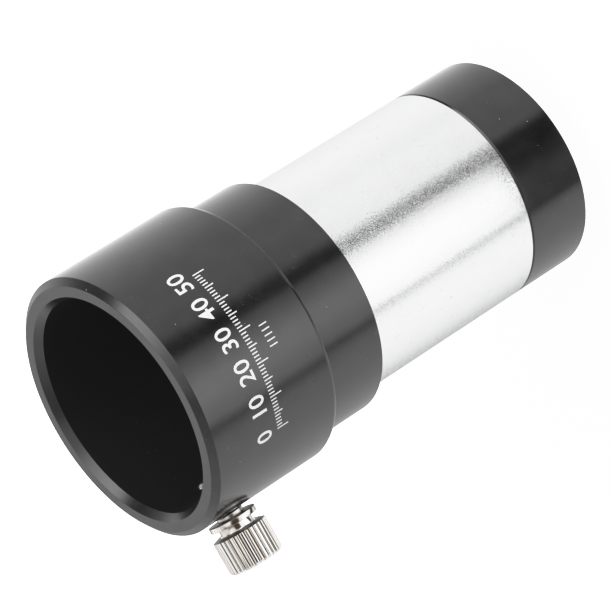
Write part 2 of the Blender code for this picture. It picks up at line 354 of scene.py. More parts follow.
def scratches(tree, vector, angle, amount):
    """1 along a few hairlines that lean at an angle to the axis, and 0 elsewhere."""
    turned = node(tree, "ShaderNodeVectorRotate", {"Vector": vector, "Angle": math.radians(angle)},
                  rotation_type="Y_AXIS").outputs[0]
    drawn_out = node(tree, "ShaderNodeVectorMath", {0: turned, 1: (2.2, 2.2, 0.25)},
                     operation="MULTIPLY").outputs[0]
    off_centre = maths(tree, "ABSOLUTE", maths(tree, "SUBTRACT", noise(tree, drawn_out, 1.0, 1.0), 0.5))
    line = maths(tree, "LESS_THAN", off_centre, 0.006)
    patch = maths(tree, "GREATER_THAN", noise(tree, vector, 0.45, 3.0, 0.7), 1 - amount)
    return maths(tree, "MULTIPLY", line, patch)


# ---------------------------------------------------------------- materials

def anodised_black(name, roughness, grain):
    """Satin black anodising over fine turned aluminium, with a little dust and a few hairlines."""
    material, tree, shader = new_material(name)
    where = place(tree)
    cloud = maths(tree, "ADD", noise(tree, where, 0.35, 2.0), noise(tree, where, 6.5, 1.0))
    dust = specks(tree, where, 0.45, 0.035)
    tone = mix_colour(tree, remap(tree, cloud, (0.7, 1.3), (0.0, 1.0)), grey(0.002), grey(0.013))
    tone = mix_colour(tree, scratches(tree, where, 35, 0.36), tone, grey(0.06))
    connect(tree, shader, Base_Color=mix_colour(tree, dust, tone, grey(0.35)))
    rough = remap(tree, noise(tree, where, 1.7, 4.0), (0.3, 0.7), (roughness - 0.02, roughness + 0.02))
    connect(tree, shader, Roughness=rough)
    turned_lines = node(tree, "ShaderNodeVectorMath", {0: where, 1: (0.15, 0.15, 9.0)},
                        operation="MULTIPLY").outputs[0]
    lines = bump(tree, noise(tree, turned_lines, 1.0, 3.0), 0.0014, 0.6)
    connect(tree, shader, Normal=bump(tree, noise(tree, where, 8.0, 3.0, 0.7), grain, 0.6, lines))
    shader.inputs["IOR"].default_value = 1.68
    return material


def worn_edge(name):
    """Corner where the anodising has rubbed through to the metal in places."""
    material, tree, shader = new_material(name)
    wear = noise(tree, place(tree), 0.6, 4.0, 0.6)
    bare = step_between(tree, wear, (0.42, 0.62))
    connect(tree, shader, Metallic=bare, Base_Color=mix_colour(tree, bare, grey(0.01), grey(0.30)),
            Roughness=remap(tree, bare, (0.0, 1.0), (0.25, 0.42)))
    return material


def matt_black(name, level=0.003):
    """Dull black of the bores, with fine tooth and dust."""
    material, tree, shader = new_material(name)
    where = place(tree)
    cloud = noise(tree, where, 0.8, 4.0)
    tone = mix_colour(tree, cloud, grey(level * 0.7), grey(level * 1.3))
    connect(tree, shader, Base_Color=mix_colour(tree, specks(tree, where, 0.7, 0.03), tone, grey(0.25)))
    connect(tree, shader, Roughness=remap(tree, cloud, (0.3, 0.7), (0.62, 0.78)))
    connect(tree, shader, Normal=bump(tree, noise(tree, where, 14.0, 3.0), 0.012, 0.7))
    shader.inputs["Specular IOR Level"].default_value = 0.15
    return material


def satin_silver(name):
    """Clear anodised tube: bead blasted, so dull white pits lie among bright flats."""
    material, tree, shader = new_material(name)
    where = place(tree)
    cloud = noise(tree, where, 0.25, 3.0)
    tone = mix_colour(tree, cloud, (0.935, 0.94, 0.95, 1.0), (0.975, 0.98, 0.985, 1.0))
    marks = scratches(tree, where, -20, 0.40)
    tone = mix_colour(tree, marks, tone, (0.62, 0.62, 0.63, 1.0))
    stains = specks(tree, where, 0.55, 0.05)
    tone = mix_colour(tree, stains, tone, (0.55, 0.55, 0.56, 1.0))
    askew = node(tree, "ShaderNodeVectorRotate", {"Vector": where, "Rotation": (0.7, 0.5, 0.3)},
                 rotation_type="EULER_XYZ").outputs[0]
    pits = step_between(tree, noise(tree, askew, 14.0, 1.0), (0.47, 0.59))
    shader.inputs["Metallic"].default_value = 1.0
    connect(tree, shader, Base_Color=tone, Roughness=remap(tree, pits, (0.0, 1.0), (0.11, 0.60)))
    connect(tree, shader, Normal=facets(tree, askew, 7.5, 0.05))
    shader.inputs["Specular Tint"].default_value = grey(0.62)
    return material


def nickel(name):
    """Bright plating over turned brass, a little uneven."""
    material, tree, shader = new_material(name)
    where = place(tree)
    along_bar = node(tree, "ShaderNodeVectorMath", {0: where, 1: (0.08, 1.1, 1.1)},
                     operation="MULTIPLY").outputs[0]
    tarnish = step_between(tree, noise(tree, along_bar, 1.0, 2.0), (0.45, 0.65))
    tone = mix_colour(tree, tarnish, (0.93, 0.91, 0.88, 1.0), (0.74, 0.68, 0.62, 1.0))
    shader.inputs["Metallic"].default_value = 1.0
    rough = remap(tree, noise(tree, where, 3.0, 4.0), (0.3, 0.7), (0.06, 0.14))
    connect(tree, shader, Base_Color=tone, Roughness=rough)
    turned_lines = node(tree, "ShaderNodeVectorMath", {0: where, 1: (7.0, 0.3, 0.3)},
                        operation="MULTIPLY").outputs[0]
    connect(tree, shader, Normal=bump(tree, noise(tree, turned_lines, 1.0, 3.0), 0.003, 0.5))
    return material


def plate_painted_shade(name):
    """Rough dark plating: painted shade on the grip's faces that look into recesses and back at the tube.
    """
    material, tree, shader = new_material(name)
    cloud = noise(tree, place(tree), 1.2, 3.0)
    shader.inputs["Metallic"].default_value = 1.0
    tone = mix_colour(tree, cloud, (0.07, 0.08, 0.08, 1.0), (0.20, 0.20, 0.19, 1.0))
    connect(tree, shader, Base_Color=tone, Roughness=remap(tree, cloud, (0.3, 0.7), (0.35, 0.5)))
    return material


def screw_steel(name):
    """Plain bright steel of the stud."""
    material, tree, shader = new_material(name)
    where = place(tree)
    cloud = noise(tree, where, 1.4, 3.0)
    tone = mix_colour(tree, cloud, (0.58, 0.56, 0.53, 1.0), (0.72, 0.70, 0.67, 1.0))
    shader.inputs["Metallic"].default_value = 1.0
    connect(tree, shader, Base_Color=tone, Roughness=remap(tree, cloud, (0.3, 0.7), (0.18, 0.30)))
    connect(tree, shader, Normal=bump(tree, noise(tree, where, 8.0, 3.0), 0.004, 0.5))
    return material


def coated_glass(name, tint):
    """Polished glass with an anti-reflection film, and the faintest haze of dust."""
    material, tree, shader = new_material(name)
    where = place(tree)
    haze = noise(tree, where, 0.6, 4.0)
    shader.inputs["Base Color"].default_value = tint
    shader.inputs["Transmission Weight"].default_value = 1.0
    shader.inputs["IOR"].default_value = 1.52
    shader.inputs["Thin Film Thickness"].default_value = 320.0
    shader.inputs["Thin Film IOR"].default_value = 1.38
    connect(tree, shader, Roughness=remap(tree, haze, (0.4, 0.8), (0.0, 0.02)))
    return material


def printed_white(name):
    """White ink, a little thin and worn where the print is rough."""
    material, tree, shader = new_material(name)
    where = place(tree)
    wear = noise(tree, where, 3.5, 5.0, 0.7)
    connect(tree, shader, Base_Color=mix_colour(tree, wear, grey(0.86), grey(0.98)))
    connect(tree, shader, Roughness=remap(tree, wear, (0.3, 0.7), (0.45, 0.6)))
    return material


# ---------------------------------------------------------------- turned shapes

def rounded(profile, closed=True):
    """Round the corners of a profile of (radius, height) or (radius, height, size) points."""
    count = len(profile)
    points = []
    for i, point in enumerate(profile):
        size = point[2] if len(point) > 2 else CORNER
        corner = Vector(point[:2])
        if size == 0 or (not closed and i in (0, count - 1)):
            points.append(tuple(corner))
            continue
        before = Vector(profile[i - 1][:2])
        after = Vector(profile[(i + 1) % count][:2])
        start = corner + (before - corner) * min(0.45, size / (before - corner).length)
        end = corner + (after - corner) * min(0.45, size / (after - corner).length)
        for step in range(CORNER_STEPS + 1):
            t = step / CORNER_STEPS
            points.append(tuple(start * (1 - t) ** 2 + corner * 2 * t * (1 - t) + end * t ** 2))
    return points


def rows(radius, start, end, step):
    """Points straight along a wall, from start towards end, close enough for a thread or a cut."""
    count = max(2, round(abs(end - start) / step))
    return [(radius, start + (end - start) * i / count, 0) for i in range(1, count)]


def lathe(name, profile, material, segments=SEGMENTS, shape=None, closed=True):
    """Turn a profile that runs down the outside of a piece, and back up its inside.

    A closed profile makes a ring. An open one starts and ends on the axis. shape may change a
    point's radius by its height and its angle, as a thread or a knurl does.
    """
    bm = bmesh.new()
    rings = []
    for radius, height in profile:
        if radius < 1e-6:
            rings.append([bm.verts.new((0.0, 0.0, height * MM))])
            continue
        ring = []
        for k in range(segments):
            angle = 2 * math.pi * k / segments
            r = shape(radius, height, angle) if shape else radius
            ring.append(bm.verts.new((r * math.cos(angle) * MM, r * math.sin(angle) * MM, height * MM)))
        rings.append(ring)
    following = rings[1:] + (rings[:1] if closed else [])
    for upper, lower in zip(rings, following):
        for k in range(segments):
            n = (k + 1) % segments
            corners = [upper[k % len(upper)], lower[k % len(lower)],
                       lower[n % len(lower)], upper[n % len(upper)]]
            bm.faces.new(list(dict.fromkeys(corners)))
    bmesh.ops.recalc_face_normals(bm, faces=bm.faces)
    return finish_mesh(name, bm, material)


def finish_mesh(name, bm, material):
    mesh = bpy.data.meshes.new(name)
    bm.to_mesh(mesh)
    bm.free()
    mesh.materials.append(material)
    obj = bpy.data.objects.new(name, mesh)
    bpy.context.scene.collection.objects.link(obj)
    smooth(obj)
    return obj


def smooth(obj):
    obj.data.shade_smooth()
    obj.data.set_sharp_from_angle(angle=SHARP_ANGLE)
    weighted = obj.modifiers.new("Weighted normals", "WEIGHTED_NORMAL")
    weighted.keep_sharp = True


def cut(obj, cutter):
    """Take one object out of another for good."""
    obj.modifiers.clear()
    boolean = obj.modifiers.new("Cut", "BOOLEAN")
    boolean.operation = "DIFFERENCE"
    boolean.solver = "EXACT"
    boolean.object = cutter
    evaluated = obj.evaluated_get(bpy.context.evaluated_depsgraph_get())
    mesh = bpy.data.meshes.new_from_object(evaluated)
    old = obj.data
    obj.modifiers.clear()
    obj.data = mesh
    bpy.data.meshes.remove(old)
    mesh.name = obj.name
    bpy.data.objects.remove(cutter, do_unlink=True)
    smooth(obj)


def paint_where(obj, material, chosen):
    """Give the faces for which chosen(radius, height) is true, in millimetres, another material."""
    obj.data.materials.append(material)
    index = len(obj.data.materials) - 1
    for face in obj.data.polygons:
        x, y, z = face.center
        if chosen(math.hypot(x, y) / MM, z / MM):
            face.material_index = index


def helix(pitch, depth, low, high, radius, outward=1):
    """Shape of a right-handed V thread cut into the wall at one radius, between two heights."""
    def shape(r, height, angle):
        if not (low < height < high and abs(r - radius) < 0.01):
            return r
        turn = height / pitch - angle / (2 * math.pi)
        valley = abs(2 * (turn - math.floor(turn)) - 1)
        fade = min(1.0, (height - low) / pitch, (high - height) / pitch)
        return r - outward * depth * valley * fade
    return shape


def lie_along_screw(obj):
    """Lay a piece that was turned about +Z onto the thumbscrew's axis, for good."""
    turn = Matrix.Rotation(math.radians(90), 4, "Y")
    obj.data.transform(Matrix.Translation((0.0, 0.0, SCREW_HEIGHT * MM)) @ turn)


def stands_for(obj, body, cad_node):
    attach(obj, body)
    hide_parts(cad_node)
    return obj


# ---------------------------------------------------------------- pieces of the tube

def make_holder(black, bore_black, turned, edge):
    hole_band = (SCREW_HEIGHT - TAPPED_BAND, SCREW_HEIGHT + TAPPED_BAND)
    profile = rounded([
        (FACE_OUTER_R, HOLDER_TOP, 0.04),
        (HOLDER_R, HOLDER_TOP - OUTER_BEVEL, 0.05),
        (HOLDER_R, hole_band[1], 0),
        (HOLDER_R, hole_band[0], 0),
        (HOLDER_R, HOLDER_BOTTOM + REAR_TAPER, 0.08),
        (HOLDER_R - REAR_FALL, HOLDER_BOTTOM, 0.06),
        (HOLDER_THREAD_R, HOLDER_BOTTOM),
        (HOLDER_THREAD_R, HOLDER_THREAD_TOP),
        (BORE_R, HOLDER_THREAD_TOP, 0),
        (BORE_R, hole_band[0], 0),
        (BORE_R, hole_band[1], 0),
        (BORE_R, HOLDER_TOP - INNER_BEVEL, 0.05),
        (FACE_INNER_R, HOLDER_TOP, 0.04),
    ])
    holder = lathe("holder_sleeve", profile, black)
    outside, inside = HOLDER_R + DRILL_EXCESS, BORE_R - DRILL_EXCESS
    drill = [(0.0, outside), (TAPPED_HOLE_R, outside), (TAPPED_HOLE_R, inside), (0.0, inside)]
    cutter = lathe("hole_cutter", drill, black, segments=HOLE_SEGMENTS, closed=False)
    lie_along_screw(cutter)
    cut(holder, cutter)
    paint_where(holder, bore_black, lambda r, z: r < BORE_R + 0.1 and z < HOLDER_TOP - INNER_BEVEL)
    paint_where(holder, edge, lambda r, z: r > HOLDER_R - REAR_FALL - 0.03 and z < HOLDER_BOTTOM + 0.05)
    paint_where(holder, turned, lambda r, z: z > HOLDER_TOP - OUTER_BEVEL and r > FACE_INNER_R)
    paint_where(holder, turned, lambda r, z: z > HOLDER_TOP - INNER_BEVEL and r < FACE_INNER_R)
    return stands_for(holder, "root", "eyepiece_holder")


def make_adapter(black, bore_black):
    barrel_seat = ADAPTER_BOTTOM + BARREL_SEAT_DEPTH
    spigot = HOLDER_THREAD_R - THREAD_PLAY
    shoulder = HOLDER_BOTTOM - SEAM
    top = HOLDER_THREAD_TOP - HAIRLINE
    profile = rounded([
        (spigot, top),
        (spigot, shoulder),
        (ADAPTER_R, shoulder, 0.05),
        (ADAPTER_R, ADAPTER_BOTTOM, 0.14),
        (BARREL_SEAT_R, ADAPTER_BOTTOM, 0.03),
        (BARREL_SEAT_R, barrel_seat, 0.03),
        (ADAPTER_THREAD_R, barrel_seat),
        (ADAPTER_THREAD_R, BORE_FLOOR, 0.15),
        (BORE_R, BORE_FLOOR),
        (BORE_R, top, 0),
    ])
    adapter = lathe("adapter_sleeve", profile, black)
    paint_where(adapter, bore_black, lambda r, z: r < BORE_R + 0.1 and z > barrel_seat)
    return stands_for(adapter, "root", "adapter_ring")


def make_barrel(silver, bore_black):
    """Bright outside and thread, blackened bore."""
    spigot = ADAPTER_THREAD_R - THREAD_PLAY
    shoulder = ADAPTER_BOTTOM + BARREL_SEAT_DEPTH - SEAM
    thread_r = FILTER_THREAD_R + THREAD_PLAY
    thread_end = CELL_TOP + SEAM + 0.2
    profile = rounded([
        (spigot, BARREL_TOP),
        (spigot, shoulder),
        (BARREL_R, shoulder, 0.04),
        (BARREL_R, BARREL_BOTTOM, 0.08),
        (thread_r, BARREL_BOTTOM, 0.12),
        *rows(thread_r, BARREL_BOTTOM, thread_end, FILTER_PITCH / ROWS_PER_TURN),
        (thread_r, thread_end),
        (BARREL_BORE_R, thread_end),
        (BARREL_BORE_R, BARREL_TOP, 0.2),
    ])
    thread = helix(FILTER_PITCH, FILTER_THREAD_DEPTH, BARREL_BOTTOM + THREAD_RUNOUT,
                   thread_end - THREAD_RUNOUT, thread_r, -1)
    barrel = lathe("bright_barrel", profile, silver, shape=thread)
    paint_where(barrel, bore_black, lambda r, z: r < BARREL_BORE_R + 0.02)
    return stands_for(barrel, "root", "barrel_tube")


def make_stop(black):
    web_bottom = STOP_TOP - STOP_WEB
    half_web = STOP_WEB / 2
    profile = rounded([
        (STOP_APERTURE_R + half_web, STOP_TOP),
        (STOP_R, STOP_TOP, 0.12),
        (STOP_R, STOP_BOTTOM),
        (STOP_R - STOP_WALL, STOP_BOTTOM),
        (STOP_R - STOP_WALL, web_bottom, 0.15),
        (STOP_APERTURE_R + half_web, web_bottom),
        (STOP_APERTURE_R, web_bottom + half_web, 0.03),
    ])
    return stands_for(lathe("baffle_ring", profile, black), "root", "glare_stop")


# ---------------------------------------------------------------- pieces of the lens cell

def make_cell(black, bore_black):
    thread_low = CELL_SHOULDER + 0.5
    profile = rounded([
        (THROAT_R, CELL_TOP, 0.1),
        (FILTER_THREAD_R, CELL_TOP, 0.2),
        *rows(FILTER_THREAD_R, CELL_TOP, CELL_SHOULDER, FILTER_PITCH / ROWS_PER_TURN),
        (FILTER_THREAD_R, CELL_SHOULDER),
        (CELL_R - CELL_CHAMFER, CELL_SHOULDER, 0.02),
        (CELL_R, CELL_SHOULDER - CELL_CHAMFER, 0.03),
        (CELL_R, CELL_BOTTOM, 0.12),
        (FILTER_THREAD_R + 0.2, CELL_BOTTOM, 0.04),
        (FILTER_THREAD_R, CELL_BOTTOM + 0.2, 0.04),
        *rows(FILTER_THREAD_R, CELL_BOTTOM + 0.2, CELL_RECESS, FILTER_PITCH / ROWS_PER_TURN),
        (FILTER_THREAD_R, CELL_RECESS),
        (RING_THREAD_R, CELL_RECESS, 0.1),
        (RING_THREAD_R, RING_SEAT),
        (LENS_BORE_R, RING_SEAT, 0.1),
        (LENS_BORE_R, LENS_LEDGE),
        (CELL_APERTURE_R, LENS_LEDGE),
        (CELL_APERTURE_R, CELL_THROAT, 0.1),
    ])
    upper = helix(FILTER_PITCH, FILTER_THREAD_DEPTH, thread_low, CELL_TOP - THREAD_RUNOUT,
                  FILTER_THREAD_R)
    lower = helix(FILTER_PITCH, FILTER_THREAD_DEPTH, CELL_BOTTOM + 0.2, CELL_RECESS - 0.3,
                  FILTER_THREAD_R, -1)

    def threads(r, height, angle):
        if height > CELL_SHOULDER:
            return upper(r, height, angle)
        return lower(r, height, angle)

    cell = lathe("cell_body", profile, black, shape=threads)
    paint_where(cell, bore_black, lambda r, z: r < RING_THREAD_R + 0.6 and z > CELL_RECESS - 0.1)
    return stands_for(cell, "cell", "lens_cell")


def make_lock_ring(black):
    """Threaded ring with two spanner slots across its lower face."""
    profile = rounded([
        (RING_R, RING_TOP, 0.1),
        *rows(RING_R, RING_TOP, RING_BOTTOM, RING_PITCH / ROWS_PER_TURN),
        (RING_R, RING_BOTTOM, 0.1),
        (CELL_APERTURE_R + 0.2, RING_BOTTOM, 0.05),
        (CELL_APERTURE_R, RING_BOTTOM + 0.2, 0.05),
        (CELL_APERTURE_R, RING_TOP),
    ])
    thread = helix(RING_PITCH, RING_THREAD_DEPTH, RING_BOTTOM + THREAD_RUNOUT,
                   RING_TOP - THREAD_RUNOUT, RING_R)
    ring = lathe("lock_ring", profile, black, shape=thread)
    bm = bmesh.new()
    across = 2 * (RING_R + DRILL_EXCESS)
    size = Matrix.Diagonal((across * MM, SLOT_WIDTH * MM, 2 * SLOT_DEPTH * MM, 1.0))
    bmesh.ops.create_cube(bm, size=1.0, matrix=Matrix.Translation((0, 0, RING_BOTTOM * MM)) @ size)
    cut(ring, finish_mesh("slot_cutter", bm, black))
    return stands_for(ring, "cell", "retaining_ring")


def sag(curve, radius):
    return curve - math.sqrt(curve ** 2 - radius ** 2)


def lens_face(curve, rim_height, rises):
    """Points of a lens face from its axis to its flat rim. rises is +1 for a face whose rim is
    higher than its middle, and -1 for one whose rim is lower."""
    middle = rim_height - rises * sag(curve, LENS_CLEAR_R)
    radii = [LENS_CLEAR_R * i / LENS_RINGS for i in range(LENS_RINGS + 1)]
    return [(radius, middle + rises * sag(curve, radius)) for radius in radii]


def make_lens(name, cad_node, rim, upper, lower, glass, edge_black):
    bottom, top = rim
    edge = [(LENS_R - LENS_BEVEL, top), (LENS_R, top - LENS_BEVEL), (LENS_R, bottom + LENS_BEVEL),
            (LENS_R - LENS_BEVEL, bottom)]
    profile = lens_face(*upper) + edge + lens_face(*lower)[::-1]
    lens = lathe(name, profile, glass, segments=LENS_SEGMENTS, closed=False)
    paint_where(lens, edge_black, lambda r, z: r > LENS_CLEAR_R + 0.1)
    return stands_for(lens, "lens_stack", cad_node)


def make_lenses(edge_black):
    flint = coated_glass("flint_glass", (0.93, 0.97, 0.95, 1.0))
    crown = coated_glass("crown_glass", (0.95, 0.98, 0.97, 1.0))
    make_lens("flint_lens", "flint_element", FLINT_RIM, (INNER_CURVE, FLINT_RIM[1], -1),
              (FRONT_CURVE, FLINT_RIM[0], -1), flint, edge_black)
    make_lens("crown_lens", "crown_element", CROWN_RIM, (REAR_CURVE, CROWN_RIM[1], 1),
              (INNER_CURVE, CROWN_RIM[0], -1), crown, edge_black)


def make_spacer(black):
    inner = (LENS_CLEAR_R + LENS_R) / 2 - SPACER_OVERHANG
    profile = rounded([
        (LENS_R, SPACER_TOP, 0.05),
        (LENS_R, SPACER_BOTTOM, 0.05),
        (inner, SPACER_BOTTOM, 0.05),
        (inner, SPACER_TOP, 0.05),
    ])
    return stands_for(lathe("lens_spacer", profile, black), "lens_stack", "element_spacer")


# ---------------------------------------------------------------- thumbscrew

def make_stud(steel):
    thread_end = STUD_TIP + STUD_TIP_BEVEL
    shoulder = FLANGE_IN - SEAM
    profile = rounded([
        (0.0, SHANK_END),
        (SHANK_R, SHANK_END, 0.15),
        (SHANK_R, shoulder),
        (STUD_R, shoulder, 0.15),
        *rows(STUD_R, shoulder, thread_end, STUD_PITCH / 10),
        (STUD_R, thread_end, 0.1),
        (STUD_TIP_R, STUD_TIP, 0.4),
        (0.0, STUD_TIP),
    ], closed=False)
    thread = helix(STUD_PITCH, STUD_THREAD_DEPTH, thread_end - 0.2, shoulder - 0.3, STUD_R)
    stud = lathe("threaded_stud", profile, steel, segments=SCREW_SEGMENTS, shape=thread, closed=False)
    lie_along_screw(stud)
    return stands_for(stud, "screw_stud", "thumbscrew_stud")


def knurl(r, height, angle):
    """Straight flutes with rounded ridges, cut along the grip and its outer bevel."""
    if height < HEAD_IN + HEAD_BEVEL / 2:
        return r
    ridge = abs(math.sin(KNURL_TEETH / 2 * angle))
    return min(r, HEAD_R - KNURL_DEPTH * (1 - ridge) ** KNURL_LAND)


def make_grip(plating, painted_shade_plating):
    """Flange, neck and knurled grip turned from one bar, with a blind bore for the stud."""
    bore = SHANK_R + SHANK_PLAY
    bore_end = SHANK_END + SEAM
    profile = rounded([
        (0.0, HEAD_OUT),
        (HEAD_R - 1.1, HEAD_OUT, 0.3),
        (HEAD_R - HEAD_BEVEL, HEAD_OUT, 0.1),
        (HEAD_R, HEAD_OUT - HEAD_BEVEL, 0.1),
        (HEAD_R, HEAD_IN + HEAD_BEVEL / 2 + 0.12, 0.03),
        (HEAD_R - KNURL_DEPTH, HEAD_IN + HEAD_BEVEL / 2 + 0.02, 0.02),
        (HEAD_R - HEAD_DOME - KNURL_DEPTH, HEAD_IN, 0.04),
        (NECK_R, HEAD_IN, 0.15),
        (NECK_R, FLANGE_OUT, 0.15),
        (FLANGE_R, FLANGE_OUT, 0.1),
        (FLANGE_R, FLANGE_IN, 0.1),
        (bore, FLANGE_IN, 0.05),
        (bore, bore_end, 0.1),
        (0.0, bore_end),
    ], closed=False)
    grip = lathe("knurled_grip", profile, plating, segments=12 * KNURL_TEETH, shape=knurl, closed=False)
    bevel_end = HEAD_IN + HEAD_BEVEL / 2 + 0.02
    flutes_end = HEAD_OUT - HEAD_BEVEL - 0.03
    # Painted shade: the head's inner face, the flange's face towards the tube and the flute floors get the
    # dark plating
    paint_where(grip, painted_shade_plating, lambda r, z: HEAD_IN - 0.01 < z < bevel_end and r > NECK_R + 0.15)
    paint_where(grip, painted_shade_plating, lambda r, z: z < FLANGE_IN + 0.1 and r > STUD_R)
    paint_where(grip, painted_shade_plating, lambda r, z: bevel_end < z < flutes_end and KNURL_FLOOR < r < KNURL_FLANK)
    lie_along_screw(grip)
    return stands_for(grip, "screw_head", "thumbscrew_head")


# ---------------------------------------------------------------- printed scale

# Angles are in degrees round the tube from the camera's direction; each line of print is given by
# the height of its middle.
PRINT_FROM, PRINT_TO = -43.0, 29.0
NUMBERS = ("0", "10", "20", "30", "40", "50")
NUMBER_LINE = 63.3
NUMBER_SIZE = 2.5
NUMBER_WEIGHT = 0.008           # how much bolder than the plain font, as a part of its size
SCALE_TOP = 61.05
LONG_TICK, MIDDLE_TICK, SHORT_TICK = 1.9, 1.4, 0.9
TICKS_PER_NUMBER = 10
TICK_WIDTH = 0.16
INDEX_FROM, INDEX_TO = -11.0, -2.0
INDEX_TOP = 58.15
INDEX_MARKS = 5
INDEX_TICK = 1.3
INK_LOW, INK_HIGH = 0.004, 0.016  # faces of the ink above the holder
INK_PIECE = 0.3                 # widest flat stretch of ink


def number_mesh(text):
    """Flat outline of a number, centred on the origin and NUMBER_SIZE tall, in millimetres."""
    curve = bpy.data.curves.new("number", "FONT")
    curve.body = text
    curve.resolution_u = 4
    curve.offset = NUMBER_WEIGHT
    obj = bpy.data.objects.new("number", curve)
    bpy.context.scene.collection.objects.link(obj)
    mesh = bpy.data.meshes.new_from_object(obj.evaluated_get(bpy.context.evaluated_depsgraph_get()))
    bpy.data.objects.remove(obj, do_unlink=True)
    bpy.data.curves.remove(curve)
    low_x, high_x = (pick(v.co.x for v in mesh.vertices) for pick in (min, max))
    low_y, high_y = (pick(v.co.y for v in mesh.vertices) for pick in (min, max))
    middle = Matrix.Translation((-(low_x + high_x) / 2, -(low_y + high_y) / 2, 0.0))
    mesh.transform(Matrix.Scale(NUMBER_SIZE / (high_y - low_y), 4) @ middle)
    return mesh


def add_tick(bm, along, top, length):
    low = top - length
    corners = [(along - TICK_WIDTH / 2, low), (along + TICK_WIDTH / 2, low),
               (along + TICK_WIDTH / 2, top), (along - TICK_WIDTH / 2, top)]
    bm.faces.new([bm.verts.new((x, y, 0.0)) for x, y in corners])


def along_print(degrees):
    """Length round the holder from the camera's direction."""
    return math.radians(degrees) * HOLDER_R


def flat_print():
    """The whole print as flat faces: x runs round the holder and y is the height."""
    bm = bmesh.new()
    spacing = (PRINT_TO - PRINT_FROM) / (len(NUMBERS) - 1)
    for i, text in enumerate(NUMBERS):
        mesh = number_mesh(text)
        mesh.transform(Matrix.Translation((along_print(PRINT_FROM + i * spacing), NUMBER_LINE, 0.0)))
        bm.from_mesh(mesh)
        bpy.data.meshes.remove(mesh)
    for i in range(TICKS_PER_NUMBER * (len(NUMBERS) - 1) + 1):
        degrees = PRINT_FROM + i * spacing / TICKS_PER_NUMBER
        middle = MIDDLE_TICK if i % (TICKS_PER_NUMBER // 2) == 0 else SHORT_TICK
        add_tick(bm, along_print(degrees), SCALE_TOP, LONG_TICK if i % TICKS_PER_NUMBER == 0 else middle)
    for i in range(INDEX_MARKS):
        degrees = INDEX_FROM + i * (INDEX_TO - INDEX_FROM) / (INDEX_MARKS - 1)
        add_tick(bm, along_print(degrees), INDEX_TOP, INDEX_TICK)
    return bm


def wrap(point, radius):
    angle = math.radians(VIEW_AZIMUTH) + point.x / HOLDER_R
    return Vector((radius * math.cos(angle), radius * math.sin(angle), point.y)) * MM


def make_print(ink):
    """Numbers and ticks wrapped round the holder as a thin closed layer of ink."""
    bm = flat_print()
    low, high = along_print(PRINT_FROM) - NUMBER_SIZE, along_print(PRINT_TO) + NUMBER_SIZE
    for i in range(1, round((high - low) / INK_PIECE)):
        everything = bm.verts[:] + bm.edges[:] + bm.faces[:]
        bmesh.ops.bisect_plane(bm, geom=everything, plane_co=(low + i * INK_PIECE, 0, 0),
                               plane_no=(1, 0, 0), dist=1e-5)
    outer = bm.verts[:]
    raised = bmesh.ops.extrude_face_region(bm, geom=bm.faces[:], use_keep_orig=True)
    inner = [item for item in raised["geom"] if isinstance(item, bmesh.types.BMVert)]
    for vertices, height in ((outer, INK_HIGH), (inner, INK_LOW)):
        for vertex in vertices:
            vertex.co = wrap(vertex.co, HOLDER_R + height)
    bmesh.ops.recalc_face_normals(bm, faces=bm.faces)
    scale = finish_mesh("printed_scale", bm, ink)
    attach(scale, "root")


# ---------------------------------------------------------------- studio

def add_floor():
    """Pale floor, clear of the screwed-out lens cell and seen through from below."""
    bm = bmesh.new()
    bmesh.ops.create_circle(bm, cap_ends=True, segments=FLOOR_SEGMENTS, radius=FLOOR_R,
                            matrix=Matrix.Translation((0.0, 0.0, -FLOOR_DROP * MM)))
    material, tree, shader = new_material("pale_floor")
    shade = noise(tree, place(tree), 0.002, 2.0)
    connect(tree, shader, Base_Color=mix_colour(tree, shade, grey(0.78), grey(0.82)))
    shader.inputs["Roughness"].default_value = 1.0
    shader.inputs["Specular IOR Level"].default_value = 0.0
    shader.inputs["Emission Color"].default_value = grey(1.0)
    shader.inputs["Emission Strength"].default_value = 1.3
    above = maths(tree, "SUBTRACT", 1.0, node(tree, "ShaderNodeNewGeometry").outputs["Backfacing"])
    connect(tree, shader, Alpha=above)
    floor = finish_mesh("floor", bm, material)
    floor.visible_glossy = False
    floor.visible_diffuse = False
    floor.visible_shadow = False


